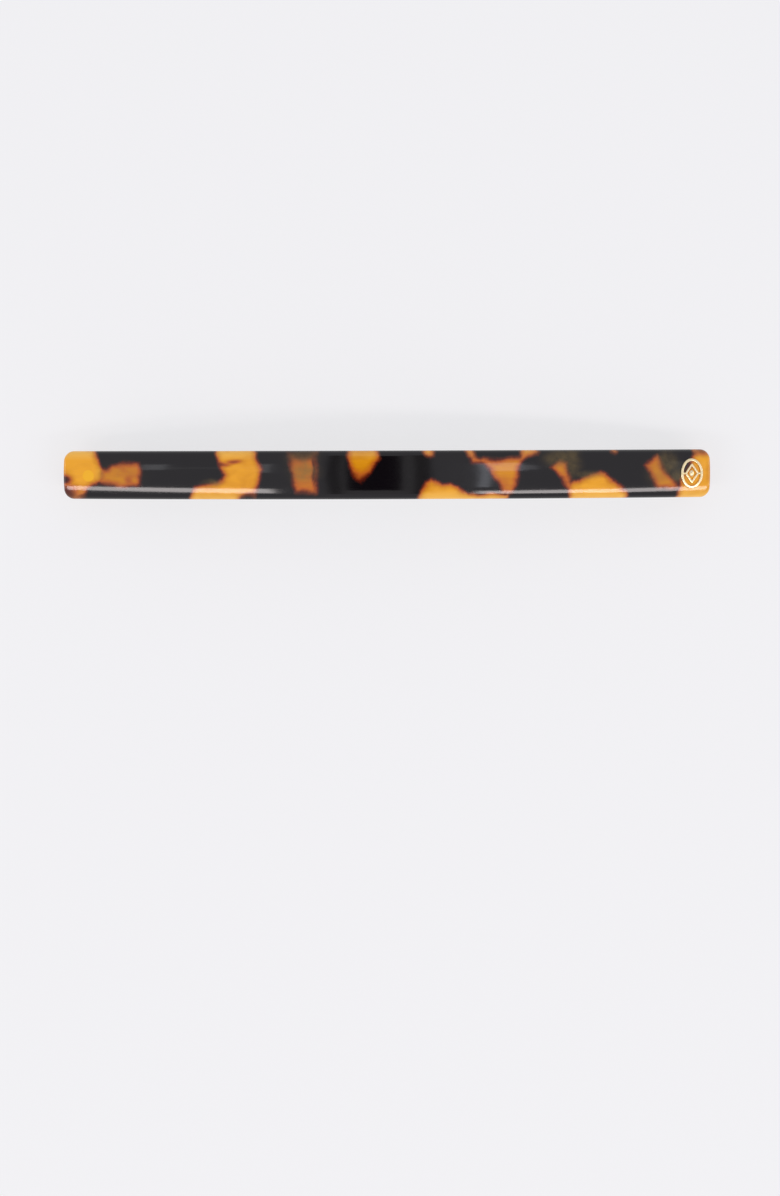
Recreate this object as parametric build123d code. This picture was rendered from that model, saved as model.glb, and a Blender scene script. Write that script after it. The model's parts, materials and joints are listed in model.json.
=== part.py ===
from build123d import *
from math import asin, cos, degrees, radians, sin
import os

# Arched hair barrette: a polished tortoiseshell acetate bar on an automatic steel clasp, in millimetres.
# +X runs along the bar towards the catch and the emblem, +Y across it, +Z up through its polished face.
# The origin is on the surface that the closed barrette stands on, under the middle of its box.
# The bar, the base plate and what is fixed to them follow concentric arcs about one centre far below.

# Acetate bar
BAR_LENGTH = 100.0
BAR_WIDTH = 7.4
BAR_THICKNESS = 3.0
BAR_UNDER_R = 152.0  # arc of the underside, which the base plate follows
CROWN_R = 14.0  # the polished face is slightly domed across its width
CORNER_R = 1.5
TOP_EDGE_R = 0.7
UNDER_EDGE_R = 0.3

# Base plate
SEAT_GAP = 0.05  # between the bar and the plate
PLATE_T = 0.6
PLATE_HALF_W = 2.5
PLATE_END_X = 48.2

# Hinge: two ears bent down from the plate carry the pin
HINGE_X = -42.0  # where the ears leave the plate
PIN_DROP = 3.7  # pin centre below the plate
PIN_R = 0.7
PIN_GAP = 0.05  # running clearance of the parts that turn on the pin
PIN_HEAD_R = 1.05
PIN_HEAD_T = 0.32
PIN_HEAD_ROUND = 0.19
EAR_OUT_Y = 2.9
EAR_T = 0.55
EAR_R = 1.6
EAR_TOP_HALF = 2.3
EAR_FOOT = 1.5  # from the pin centre down to the flat foot

# Clasp arm
ARM_T = 0.6
ARM_HALF_W = 2.25
ARM_CATCH_HALF_W = 2.65
ARM_CATCH_FROM_X = 33.5
ARM_EAR_T = 0.5
ARM_EAR_R = 1.35
ARM_EAR_LENGTH = 5.0
ARM_EAR_FOOT_R = 0.24  # where the ear runs out on the strip
ARM_START_X = 1.75  # the strip's first point, from the pin centre
ARM_START_Z = -0.95
ARM_CATCH_DEPTH = 3.3  # middle of the strip below the plate, at the catch
ARM_STRAIGHT = 3.0  # flat stretch from the middle of the catch towards the hinge
ARM_BEND_R = 10.0
ARM_BEND_SWEEP = 13.5
ARM_TIP_R = 4.0
ARM_TIP_LIFT = 20.0

# Tension bar
BOW_T = 0.4
BOW_HALF_W = 1.6
BOW_MID_Z = 9.3  # middle of the strip above x = 0
BOW_END_X = 31.0
BOW_PLATE_GAP = 0.15
BOW_TIP_R = 3.0
BOW_TIP_SWEEP = 28.0

# Catch: a spring of bent strip, riveted under the plate, whose two jaws snap through the arm's window
CATCH_X = 40.5
SPRING_T = 0.35
SPRING_BEND_R = 0.35
BRACKET_HALF_L = 1.7
JAW_ROOT_Y = 2.6
JAW_ROOT_DROP = 0.37
JAW_ROOT_R = 0.3
JAW_ROOT_GAP = 0.06
PAD_Y = 3.25  # middle of the sheet where a finger presses
PAD_TOP = 1.05
PAD_FOOT = 1.65
PAD_HALF_L = 2.2
NECK_Y = 1.12
NECK_TOP = 2.65
NECK_HALF_L = 1.3
WINDOW_HALF_L = 1.65
WINDOW_HALF_W = 1.5
BARB_Y = 1.85
BARB_GAP = 0.15
BARB_H = 0.65
BARB_LIP = 0.12  # upright edge of the barb

# Rivets
RIVET_X = 46.0
RIVET_R = 0.9
RIVET_BITE = 1.7  # depth of the shank in the acetate
RIVET_HEAD_R = 1.5
RIVET_HEAD_T = 0.45
CATCH_RIVET_R = 0.55
CATCH_RIVET_HEAD_R = 0.95
CATCH_RIVET_HEAD_T = 0.4
HEAD_ROUND = 0.9  # share of a head's height that its dome takes up
HOLE_GAP = 0.03
FACE_GAP = 0.01

# Emblem: a plain gilt oval with a lozenge inside it
EMBLEM_X = 46.9
EMBLEM_HALF_L = 1.85
EMBLEM_HALF_W = 2.35
EMBLEM_LINE = 0.5
EMBLEM_BAR_W = 0.4
EMBLEM_GAP = 0.02
EMBLEM_T = 0.34
LOZENGE_HALF_L = 0.62
LOZENGE_HALF_W = 1.0
STUD_R = 0.16
STUD_Y = 2.1
STUD_DEPTH = 0.9

# Worked out from the above
PLATE_OUT_R = BAR_UNDER_R - SEAT_GAP
PLATE_IN_R = PLATE_OUT_R - PLATE_T
BAR_TOP_R = BAR_UNDER_R + BAR_THICKNESS
HINGE_ANGLE = degrees(asin(HINGE_X / PLATE_IN_R))
CATCH_ANGLE = degrees(asin(CATCH_X / PLATE_IN_R))
RIVET_ANGLE = degrees(asin(RIVET_X / BAR_UNDER_R))
EMBLEM_ANGLE = degrees(asin(EMBLEM_X / BAR_TOP_R))
# The ends of the bar are radial, and it is longest on the rounding of the top edge.
END_LEAN = asin(BAR_LENGTH / 2 / BAR_TOP_R)
END_REACH = BAR_LENGTH / 2 - TOP_EDGE_R * (1 - cos(END_LEAN))
BAR_HALF_ANGLE = degrees(asin(END_REACH / (BAR_TOP_R - TOP_EDGE_R)))
# The feet of the hinge ears stand at z = 0, which sets the height of the arcs' centre.
CENTRE_Z = EAR_FOOT - (PLATE_IN_R - PIN_DROP) * cos(radians(HINGE_ANGLE))
CURVE_AXIS = Axis((0, 0, CENTRE_Z), (0, 1, 0))


def polar(radius, angle):
    """Point (x, z) at this radius from the arcs' centre, at an angle in degrees from straight up to +X."""
    return radius * sin(radians(angle)), CENTRE_Z + radius * cos(radians(angle))


def tangent_plane(radius, angle):
    """Local frame on an arc: x along it towards +X, y across the bar, z outwards."""
    x, z = polar(radius, angle)
    a = radians(angle)
    return Plane(origin=(x, 0, z), x_dir=(cos(a), 0, -sin(a)), z_dir=(sin(a), 0, cos(a)))


def side_plane(radius, angle, y=0.0):
    """The same frame seen from the side: sketch x runs along the arc and sketch y outwards."""
    x, z = polar(radius, angle)
    a = radians(angle)
    return Plane(origin=(x, y, z), x_dir=(cos(a), 0, -sin(a)), z_dir=(0, -1, 0))


PIN_X, PIN_Z = polar(PLATE_IN_R - PIN_DROP, HINGE_ANGLE)


def cross_pin(radius, half_length):
    """A cylinder across the barrette on the hinge axis."""
    return Pos(PIN_X, 0, PIN_Z) * Rot(90, 0, 0) * Cylinder(radius, 2 * half_length)


def arc_band(r_in, r_out, from_angle, to_angle, half_width):
    """A strip of constant thickness that follows the arcs."""
    middle = (from_angle + to_angle) / 2
    with BuildSketch(Plane.XZ) as sketch:
        with BuildLine():
            inner = ThreePointArc(polar(r_in, from_angle), polar(r_in, middle), polar(r_in, to_angle))
            outer = ThreePointArc(polar(r_out, from_angle), polar(r_out, middle), polar(r_out, to_angle))
            Line(inner @ 0, outer @ 0)
            Line(inner @ 1, outer @ 1)
        make_face()
    return extrude(sketch.sketch, amount=half_width, both=True)


def bent_sheet(path, thickness, half_width):
    """Sheet metal bent along a path that lies in one plane, equally wide to both sides of that plane."""
    left = path.offset_2d(thickness / 2, side=Side.LEFT, closed=False)
    right = path.offset_2d(thickness / 2, side=Side.RIGHT, closed=False)
    starts = sorted((left @ 0, left @ 1), key=lambda p: (p - path @ 0).length)
    others = sorted((right @ 0, right @ 1), key=lambda p: (p - path @ 0).length)
    ends = [Edge.make_line(a, b) for a, b in zip(starts, others)]
    face = Face(Wire([*left.edges(), *right.edges(), *ends]))
    return extrude(face, amount=half_width, both=True)


def plan_cut(solid, *shapes):
    """Keeps what lies inside a plan outline."""
    return solid & extrude(Sketch() + list(shapes), amount=BAR_LENGTH, both=True)


def headed_rivet(seat, shank_r, shank_top, head_r, head_t):
    """A rivet with a low domed head under its seat and a shank that reaches shank_top above it."""
    head = Pos(0, 0, -head_t / 2 - FACE_GAP) * Cylinder(head_r, head_t)
    head = fillet(head.faces().sort_by(Axis.Z)[0].edges(), head_t * HEAD_ROUND)
    length = shank_top + FACE_GAP
    return seat * (head + Pos(0, 0, shank_top - length / 2) * Cylinder(shank_r, length))


def bar_section():
    """Cross-section of the acetate bar at its highest point, with the domed face upwards."""
    half = BAR_WIDTH / 2
    top = CENTRE_Z + BAR_TOP_R
    under = CENTRE_Z + BAR_UNDER_R
    shoulder = top - CROWN_R + (CROWN_R**2 - half**2) ** 0.5
    with BuildSketch(Plane.YZ) as sketch:
        with BuildLine():
            Polyline((-half, shoulder), (-half, under), (half, under), (half, shoulder))
            ThreePointArc((half, shoulder), (0, top), (-half, shoulder))
        make_face()
    return sketch.sketch


def revolved(section, half_angle):
    """Sweeps a cross-section along the arcs, equally to both sides of its plane."""
    return revolve(section, axis=CURVE_AXIS, revolution_arc=2 * half_angle).rotate(CURVE_AXIS, -half_angle)


def acetate_bar():
    bar = revolved(bar_section(), BAR_HALF_ANGLE)
    corners = [e for e in bar.edges().filter_by(GeomType.LINE) if abs(e.center().Y) > BAR_WIDTH / 4]
    bar = fillet(corners, CORNER_R)
    bar = fillet(bar.faces().filter_by(GeomType.TORUS).sort_by(SortBy.AREA)[-1].edges(), TOP_EDGE_R)
    bar = fillet(bar.faces().filter_by(GeomType.CYLINDER).sort_by(SortBy.AREA)[-1].edges(), UNDER_EDGE_R)
    rivet_holes = [tangent_plane(BAR_UNDER_R, side * RIVET_ANGLE)
                   * Cylinder(RIVET_R + HOLE_GAP, 2 * (RIVET_BITE + HOLE_GAP)) for side in (-1, 1)]
    return bar - [*rivet_holes, *emblem_studs(HOLE_GAP)]


def emblem_studs(extra=0.0):
    """The two studs under the emblem, or with extra the holes that they sit in."""
    seat = tangent_plane(BAR_TOP_R, EMBLEM_ANGLE)
    length = STUD_DEPTH + extra
    return [seat * Pos(0, y, -length / 2) * Cylinder(STUD_R + extra, length) for y in (-STUD_Y, STUD_Y)]


def emblem():
    """Oval ring and lozenge stamped from one sheet that follows the domed face, on two studs."""
    under_r = CROWN_R + EMBLEM_GAP
    long_enough = 4 * EMBLEM_HALF_L
    sheet = Cylinder(under_r + EMBLEM_T, long_enough) - Cylinder(under_r, long_enough)
    sheet = Pos(0, 0, -CROWN_R) * Rot(0, 90, 0) * sheet
    with BuildSketch() as outline:
        Ellipse(EMBLEM_HALF_L, EMBLEM_HALF_W)
        Ellipse(EMBLEM_HALF_L - EMBLEM_LINE, EMBLEM_HALF_W - EMBLEM_LINE, mode=Mode.SUBTRACT)
        Rectangle(2 * EMBLEM_HALF_L - EMBLEM_LINE, EMBLEM_BAR_W)
        with BuildLine():
            Polyline((-LOZENGE_HALF_L, 0), (0, -LOZENGE_HALF_W), (LOZENGE_HALF_L, 0),
                     (0, LOZENGE_HALF_W), close=True)
        make_face()
    badge = sheet & extrude(outline.sketch, amount=CROWN_R / 2, both=True)
    badge = tangent_plane(BAR_TOP_R, EMBLEM_ANGLE) * badge
    for stud in emblem_studs():
        badge += stud
    return badge


def base_plate():
    end_angle = degrees(asin(PLATE_END_X / PLATE_OUT_R))
    plate = arc_band(PLATE_IN_R, PLATE_OUT_R, -end_angle, end_angle, PLATE_HALF_W)
    plate = plan_cut(plate, SlotOverall(2 * PLATE_END_X, 2 * PLATE_HALF_W))
    spread = degrees(EAR_TOP_HALF / PLATE_IN_R)
    plate += arc_band(PLATE_IN_R, PLATE_OUT_R, HINGE_ANGLE - spread, HINGE_ANGLE + spread, EAR_OUT_Y)
    for y, inward in ((-EAR_OUT_Y, -EAR_T), (EAR_OUT_Y, EAR_T)):
        with BuildSketch(side_plane(PLATE_IN_R, HINGE_ANGLE, y)) as ear:
            with Locations((0, -PIN_DROP)):
                Circle(EAR_R)
            with Locations((0, PLATE_T / 4)):
                Rectangle(2 * EAR_TOP_HALF, PLATE_T / 2)
            make_hull()
        plate += extrude(ear.sketch, amount=inward)
    plate = split(plate, bisect_by=Plane.XY, keep=Keep.TOP)
    plate -= cross_pin(PIN_R + HOLE_GAP, 2 * EAR_OUT_Y)
    for side in (-1, 1):
        plate -= tangent_plane(PLATE_OUT_R, side * RIVET_ANGLE) * Cylinder(RIVET_R + HOLE_GAP, 4 * PLATE_T)
    return plate - tangent_plane(PLATE_OUT_R, CATCH_ANGLE) * Cylinder(CATCH_RIVET_R + HOLE_GAP, 4 * PLATE_T)


def mounting_rivets():
    """The two rivets that hold the bar: heads under the plate, shanks in blind holes of the acetate."""
    top = PLATE_T + SEAT_GAP + RIVET_BITE
    seats = [tangent_plane(PLATE_IN_R, side * RIVET_ANGLE) for side in (-1, 1)]
    return [headed_rivet(seat, RIVET_R, top, RIVET_HEAD_R, RIVET_HEAD_T) for seat in seats]


def hinge_pin():
    """A straight pin, peened to a flat head outside each ear."""
    pin = cross_pin(PIN_R, EAR_OUT_Y + FACE_GAP)
    for side in (-1, 1):
        y = side * (EAR_OUT_Y + FACE_GAP + PIN_HEAD_T / 2)
        head = Pos(PIN_X, y, PIN_Z) * Rot(90, 0, 0) * Cylinder(PIN_HEAD_R, PIN_HEAD_T)
        outer = head.faces().filter_by(GeomType.PLANE).sort_by(Axis.Y)[-1 if side > 0 else 0]
        pin += fillet(outer.edges(), PIN_HEAD_ROUND)
    return pin


def arm_path():
    """Middle line of the arm's strip in the XZ plane, from beside the hinge to the curled tip."""
    a = radians(CATCH_ANGLE)
    catch_x, catch_z = polar(PLATE_IN_R - ARM_CATCH_DEPTH, CATCH_ANGLE)
    flat_from = (catch_x - ARM_STRAIGHT * cos(a), catch_z + ARM_STRAIGHT * sin(a))
    dip = catch_z - ARM_T / 2 - ARM_TIP_R * (1 - cos(a))
    flat_to = (catch_x + dip / sin(a) * cos(a), catch_z - dip)
    start = (PIN_X + ARM_START_X, PIN_Z + ARM_START_Z)
    with BuildLine(Plane.XZ) as path:
        bend = JernArc(flat_from, (-cos(a), sin(a)), ARM_BEND_R, ARM_BEND_SWEEP)
        TangentArc(bend @ 1, Vector(start[0], 0, start[1]), tangent=bend % 1)
        Line(flat_from, flat_to)
        JernArc(flat_to, (cos(a), -sin(a)), ARM_TIP_R, CATCH_ANGLE + ARM_TIP_LIFT)
    return path.wire()


def clasp_arm():
    """The strip that the hair lies on, with ears on the pin, the catch's window and a curled tip."""
    path = arm_path()
    arm = bent_sheet(path, ARM_T, ARM_CATCH_HALF_W)
    tip_x = arm.bounding_box().max.X
    strap_to = ARM_CATCH_FROM_X + 2 * ARM_CATCH_HALF_W
    strap = Pos((PIN_X + strap_to) / 2, 0) * Rectangle(strap_to - PIN_X, 2 * ARM_HALF_W)
    tongue = SlotOverall(tip_x - ARM_CATCH_FROM_X, 2 * ARM_CATCH_HALF_W)
    arm = plan_cut(arm, strap, Pos((tip_x + ARM_CATCH_FROM_X) / 2, 0) * tongue)
    foot = min((path @ (ARM_EAR_LENGTH / path.length), path @ (1 - ARM_EAR_LENGTH / path.length)),
               key=lambda point: point.X)
    for y, inward in ((-ARM_HALF_W, -ARM_EAR_T), (ARM_HALF_W, ARM_EAR_T)):
        with BuildSketch(Plane.XZ.offset(-y)) as ear:
            with Locations((PIN_X, PIN_Z)):
                Circle(ARM_EAR_R)
            with Locations((foot.X, foot.Z)):
                Circle(ARM_EAR_FOOT_R)
            make_hull()
        arm += extrude(ear.sketch, amount=inward)
    arm -= cross_pin(PIN_R + PIN_GAP, 2 * EAR_OUT_Y)
    window = Box(2 * WINDOW_HALF_L, 2 * WINDOW_HALF_W, 4 * ARM_T)
    return arm - tangent_plane(PLATE_IN_R - ARM_CATCH_DEPTH, CATCH_ANGLE) * window


def tension_bar():
    """The inner spring strip: an eye rolled round the hinge pin and a free end curled down from the plate."""
    eye_r = PIN_R + PIN_GAP + BOW_T / 2
    end_x, end_z = polar(PLATE_IN_R - BOW_PLATE_GAP - BOW_T / 2, degrees(asin(BOW_END_X / PLATE_IN_R)))
    with BuildLine(Plane.XZ) as path:
        start = (PIN_X, PIN_Z + eye_r)
        main = ThreePointArc(start, (0, BOW_MID_Z), (end_x, end_z))
        JernArc(main @ 1, main % 1, BOW_TIP_R, -BOW_TIP_SWEEP)
    bow = bent_sheet(path.wire(), BOW_T, BOW_HALF_W)
    tip_x = bow.bounding_box().max.X
    past_the_pin = Pos((tip_x - BAR_LENGTH) / 2, 0)
    bow = plan_cut(bow, past_the_pin * SlotOverall(tip_x + BAR_LENGTH, 2 * BOW_HALF_W))
    bow += cross_pin(eye_r + BOW_T / 2, BOW_HALF_W)
    return bow - cross_pin(PIN_R + PIN_GAP, 2 * BOW_HALF_W)


def catch_bracket():
    """Flat middle of the catch spring, riveted under the plate."""
    spread = degrees(BRACKET_HALF_L / PLATE_IN_R)
    half_w = JAW_ROOT_Y - JAW_ROOT_R - JAW_ROOT_GAP
    floor = arc_band(PLATE_IN_R - SPRING_T, PLATE_IN_R, CATCH_ANGLE - spread, CATCH_ANGLE + spread, half_w)
    return floor - tangent_plane(PLATE_IN_R, CATCH_ANGLE) * Cylinder(CATCH_RIVET_R + HOLE_GAP, 4 * SPRING_T)


def catch_rivet():
    """Rivet of the catch: head under the bracket, shank flush with the top of the plate."""
    seat = tangent_plane(PLATE_IN_R - SPRING_T, CATCH_ANGLE)
    return headed_rivet(seat, CATCH_RIVET_R, SPRING_T + PLATE_T - FACE_GAP, CATCH_RIVET_HEAD_R,
                        CATCH_RIVET_HEAD_T)


def catch_jaw(side):
    """One jaw of the catch on the side given as -1 or 1: rounded root, finger pad, neck and barb."""
    seat = tangent_plane(PLATE_IN_R, CATCH_ANGLE)
    across = Plane(origin=seat.origin, x_dir=(0, side, 0), z_dir=seat.x_dir * side)
    arm_under = -ARM_CATCH_DEPTH - ARM_T / 2
    with BuildLine() as path:
        FilletPolyline((JAW_ROOT_Y, -JAW_ROOT_DROP), (PAD_Y, -PAD_TOP), (PAD_Y, -PAD_FOOT),
                       (NECK_Y, -NECK_TOP), (NECK_Y, arm_under - BARB_GAP - BARB_H), radius=SPRING_BEND_R)
    jaw = bent_sheet(path.wire(), SPRING_T, PAD_HALF_L)
    with BuildSketch() as profile:
        with BuildLine():
            barb_z = arm_under - BARB_GAP
            Polyline((NECK_Y, barb_z), (BARB_Y, barb_z), (BARB_Y, barb_z - BARB_LIP),
                     (NECK_Y, barb_z - BARB_H), close=True)
        make_face()
    jaw += extrude(profile.sketch, amount=NECK_HALF_L, both=True)
    jaw += Pos(JAW_ROOT_Y, -JAW_ROOT_DROP, 0) * Cylinder(JAW_ROOT_R, 2 * BRACKET_HALF_L)
    edge = [(SPRING_T, BRACKET_HALF_L), (-JAW_ROOT_DROP - JAW_ROOT_R, BRACKET_HALF_L),
            (-PAD_TOP, PAD_HALF_L), (-PAD_FOOT, PAD_HALF_L),
            (-NECK_TOP, NECK_HALF_L), (2 * arm_under, NECK_HALF_L)]
    with BuildSketch(Plane.YZ) as outline:
        with BuildLine():
            Polyline(*edge, *[(depth, -half_l) for depth, half_l in reversed(edge)], close=True)
        make_face()
    jaw = jaw & extrude(outline.sketch, amount=2 * PAD_Y, both=True)
    return across * jaw


NODES = {
    "acetate_bar": [acetate_bar()],
    "base_plate": [base_plate()],
    "mounting_rivets": mounting_rivets(),
    "hinge_pin": [hinge_pin()],
    "clasp_arm": [clasp_arm()],
    "tension_bar": [tension_bar()],
    "catch_bracket": [catch_bracket()],
    "catch_rivet": [catch_rivet()],
    "catch_jaw_front": [catch_jaw(-1)],
    "catch_jaw_back": [catch_jaw(1)],
    "emblem": [emblem()],
}
os.makedirs("parts", exist_ok=True)
for name, pieces in NODES.items():
    export_step(Compound(children=pieces) if len(pieces) > 1 else pieces[0], f"parts/{name}.step")
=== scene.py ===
import json
import math

import bmesh
import bpy
import numpy as np
from bpy.props import FloatProperty, FloatVectorProperty, PointerProperty, StringProperty
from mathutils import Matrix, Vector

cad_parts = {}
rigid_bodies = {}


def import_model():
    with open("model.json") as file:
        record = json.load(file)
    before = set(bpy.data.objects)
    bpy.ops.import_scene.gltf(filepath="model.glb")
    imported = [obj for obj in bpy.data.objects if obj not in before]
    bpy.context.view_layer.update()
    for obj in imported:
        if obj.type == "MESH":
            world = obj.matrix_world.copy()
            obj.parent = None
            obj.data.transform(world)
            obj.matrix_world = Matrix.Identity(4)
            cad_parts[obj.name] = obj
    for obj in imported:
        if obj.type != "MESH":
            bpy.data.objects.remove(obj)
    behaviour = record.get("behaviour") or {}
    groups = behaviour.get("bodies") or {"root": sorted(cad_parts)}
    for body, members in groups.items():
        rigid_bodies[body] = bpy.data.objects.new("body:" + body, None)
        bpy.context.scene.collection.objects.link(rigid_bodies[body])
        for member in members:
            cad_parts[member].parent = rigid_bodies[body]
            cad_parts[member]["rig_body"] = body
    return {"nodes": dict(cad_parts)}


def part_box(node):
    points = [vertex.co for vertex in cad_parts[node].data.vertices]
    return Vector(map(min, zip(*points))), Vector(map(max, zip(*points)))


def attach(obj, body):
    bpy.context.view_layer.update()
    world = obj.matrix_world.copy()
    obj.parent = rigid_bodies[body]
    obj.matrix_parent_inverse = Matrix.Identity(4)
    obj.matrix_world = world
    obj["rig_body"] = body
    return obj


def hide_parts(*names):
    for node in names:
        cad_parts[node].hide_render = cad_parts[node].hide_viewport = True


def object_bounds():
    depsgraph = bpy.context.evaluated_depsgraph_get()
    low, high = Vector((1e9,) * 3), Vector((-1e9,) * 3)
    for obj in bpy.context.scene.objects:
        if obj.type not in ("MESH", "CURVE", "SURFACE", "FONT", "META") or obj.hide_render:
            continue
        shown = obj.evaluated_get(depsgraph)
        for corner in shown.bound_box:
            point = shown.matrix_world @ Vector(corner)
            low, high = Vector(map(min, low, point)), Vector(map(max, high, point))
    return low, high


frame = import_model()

bl_info = {
    "name": "Tortoiseshell Barrette",
    "version": (1, 0, 0),
    "blender": (4, 5, 0),
    "location": "View3D > Sidebar > Barrette",
    "description": "Finishes an arched acetate barrette on its steel clasp, with its studio",
    "category": "Add Mesh",
}

MM = 0.001
CAD_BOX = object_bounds()
BAR_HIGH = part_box("acetate_bar")[1]
EMBLEM_LOW, EMBLEM_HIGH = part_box("emblem")
BODY = "barrette_body"

# ---------------------------------------------------------------- tortoiseshell pattern

# In millimetres in plan: x along the bar from its middle, y across it.
# Each amber patch is the glow of its middle, from 0 to 1, and its outline.
AMBER_PATCHES = (
    (1, ((-52, 4.4), (-44.9, 4.4), (-44.7, 3), (-44.1, 1.7), (-43.6, 0.9), (-43.7, -0.9),
         (-45.4, -1.6), (-46.2, -2.3), (-46.7, -4.4), (-52, -4.4))),
    (0.5, ((-44.3, 0.9), (-43, 1.1), (-42.3, 1.7), (-40.8, 1.9), (-37.9, 2), (-37.6, 0.9),
           (-37.7, -1.5), (-38.4, -1.9), (-40.8, -2), (-42.3, -1.7), (-44.1, -1.2))),
    (0.86, ((-26.3, 4.4), (-26.2, 3.2), (-25.4, 1.1), (-24.8, 0.1), (-25.1, -0.5), (-26, -1.1),
            (-29, -1.7), (-29.8, -2.3), (-30.3, -4.4), (-22.7, -4.4), (-22.2, -3.3),
            (-20.2, -3.3), (-19.8, -2.4), (-19, 0.1), (-19, 0.8), (-19.6, 2.2), (-19.9, 4.4))),
    (0.4, ((-15.2, 3.6), (-10.6, 3.6), (-10.5, 0), (-10.6, -2.8), (-14, -2.8), (-14.6, 0))),
    (0.66, ((-5.7, 4.4), (-6.1, 2.6), (-5.7, 1.6), (-5.3, 0.4), (-4.7, -0.9), (-4, -1.1),
            (-3.4, -0.7), (-2.9, 0.1), (-2.2, 1), (-1.4, 1.9), (-1.1, 2.5), (-1.3, 4.4))),
    (0.75, ((5.1, 4.4), (5.7, 2.9), (6.4, 2.6), (7.1, 2.9), (7.4, 4.4))),
    (0.95, ((4.6, -4.4), (4.9, -2.6), (5.6, -1.8), (6, -1.2), (6.6, -0.8), (7.3, -0.9),
            (8.3, -1.4), (9.8, -1.3), (10.7, -1.8), (11.4, -2.3), (12.4, -2.8), (14.1, -2.9),
            (18.5, -3), (18.5, -4.4))),
    (0.56, ((11.5, 4.4), (12.2, 2.8), (12.9, 1.8), (14.6, 1.7), (15.8, 0.3), (16.6, -1.1),
            (17.4, -2.9), (18.9, -2.9), (19.8, -1.7), (20.2, 0.3), (20.5, 2), (21.4, 2.5),
            (23, 2.9), (23.4, 4.4), (20.5, 4.4), (20.3, 2.8), (18.4, 2.6), (15.9, 2.3),
            (14.2, 2.4), (13.5, 2.8), (13.3, 4.4))),
    (0.56, ((24.9, 1), (26.3, 2.1), (27.4, 1.9), (27.9, 0), (28.3, -2), (27.7, -2.4),
            (26.4, -0.5))),
    (0.95, ((27.7, -4.4), (27.7, -1.8), (28.1, -1.1), (29.3, -0.8), (31, -0.1), (32.7, 0.2),
            (33.4, 0), (34.5, -0.9), (36, -1.9), (36.8, -2.7), (37.1, -4.4))),
    (0.4, ((34.1, 4.4), (34.4, 3.3), (34.9, 3), (35.4, 3.3), (35.6, 4.4))),
    (0.52, ((39.5, 1.3), (40.7, 2.5), (41.6, 2.9), (42.3, 1.7), (43.2, 0.1), (44.6, -1.4),
            (45.2, -2.4), (41.5, -2.5), (40.8, -1), (40.1, 0.4))),
    (0.97, ((47, 4.4), (47.1, 2.9), (46.5, 1.4), (45.6, 0), (45.2, -1.2), (44.8, -2.4),
            (44.5, -4.4), (52, -4.4), (52, 4.4))),
)
# Brown smoke that darkens the amber: middle x and y, half length, half width, strength.
SMOKES = (
    (-49.9, -0.8, 1.6, 1.1, 1),
    (-49.8, -2.9, 3.2, 2.1, 0.95),
    (-47.4, -1.4, 1.6, 0.8, 0.25),
    (-21, -3, 1.2, 0.5, 0.75),
    (-47.6, -3.5, 3.4, 0.9, 0.85),
    (-39.6, -0.7, 0.7, 0.7, 0.5),
    (-23.3, 2.05, 1.3, 0.42, 0.78),
    (-24.7, 1.65, 1.3, 0.4, 0.7),
    (-11.1, 1, 0.26, 3, 0.7),
    (-12.8, 3.2, 3.2, 1.1, 0.9),
    (-4.2, -0.6, 1.6, 1.2, 0.55),
    (6.2, -1.6, 1.5, 1.1, 0.25),
    (17.6, 2.45, 2, 0.15, 0.4),
    (17.6, -1.6, 1.4, 1.2, 0.3),
    (45.9, 1.7, 1.3, 1.4, 0.9),
    (48.8, 3.4, 1.9, 1, 0.85),
    (50, 0.4, 0.8, 2.6, 0.3),
)
# Olive haze over amber and black alike, in the same form.
HAZES = (
    (-12.8, 2.6, 2.2, 1.4, 0.55),
    (-12.6, 0.6, 2, 1.6, 0.75),
    (-41, 0, 3.2, 1.9, 0.2),
    (-26.7, -1.1, 1.5, 0.45, 0.65),
    (26.3, 2.4, 2.2, 1.2, 0.65),
    (28.3, 1.9, 1.3, 2.4, 0.6),
    (30.6, -0.1, 2, 0.6, 0.6),
    (43.1, 1.6, 1.5, 1.9, 0.75),
    (41.9, 0, 2, 2, 0.3),
    (44.6, -0.2, 1.2, 1, 0.6),
    (-44.2, 0.2, 0.8, 1, 0.35),
)
# Middle of the rivet that shines through the amber end.
RIVET_SHINE_MM = (-46.0, -0.1, 0.0)
# Below a skin of this thickness, the patches lean along and across the bar by this share of the
# depth, and spread across it by this share for each millimetre of depth.
SKIN_MM = 0.6
LEAN = 0.25
WIDENING = 0.12
# Waves that bend the plan: height in millimetres, then radians for each millimetre of x and y.
WAVE_ALONG = (0.08, 0.9, 2.3)
WAVE_ACROSS = (0.07, 1.7, -0.8)
# How fast the glow of one patch gives way to the glow of the next, for each millimetre.
GLOW_BLEND = 5

# ---------------------------------------------------------------- mesh detail

# Rows of the bar: on its face, over the polished edge, and underneath. The small edge over the
# plate has every third row of the polished edge, and the wall's rows are shares of its height.
FACE_ROWS = 14
EDGE_ROWS = 12
UNDER_ROWS = 7
UNDER_EDGE_STEP = 3
WALL_SHARES = (0.33, 0.66, 0.9)
# Points of the bar's outline on each long side, each end and each corner.
SIDE_POINTS = 360
END_POINTS = 12
CORNER_POINTS = 12

# The emblem's heights over the polished face, and how far its parts reach into the acetate.
RING_HEIGHT = 0.3 * MM
LOZENGE_HEIGHT = 0.26 * MM
LINK_HEIGHT = 0.2 * MM
BEAD_HEIGHT = 0.3 * MM
SINK = 0.03 * MM
# The ring stays this far inside the ends of the CAD emblem; ring and lozenge are lifted this much.
EMBLEM_MARGIN = 0.03 * MM
EMBLEM_LIFT = 0.01 * MM
# The bead's half length and half width.
BEAD_HALVES = (0.42 * MM, 0.55 * MM)
# The lozenge's size and line, and the links' line, as shares of the ring's.
LOZENGE_LENGTH = 0.62
LOZENGE_WIDTH = 0.66
LOZENGE_LINE = 0.8
LINK_LINE = 0.36
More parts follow.
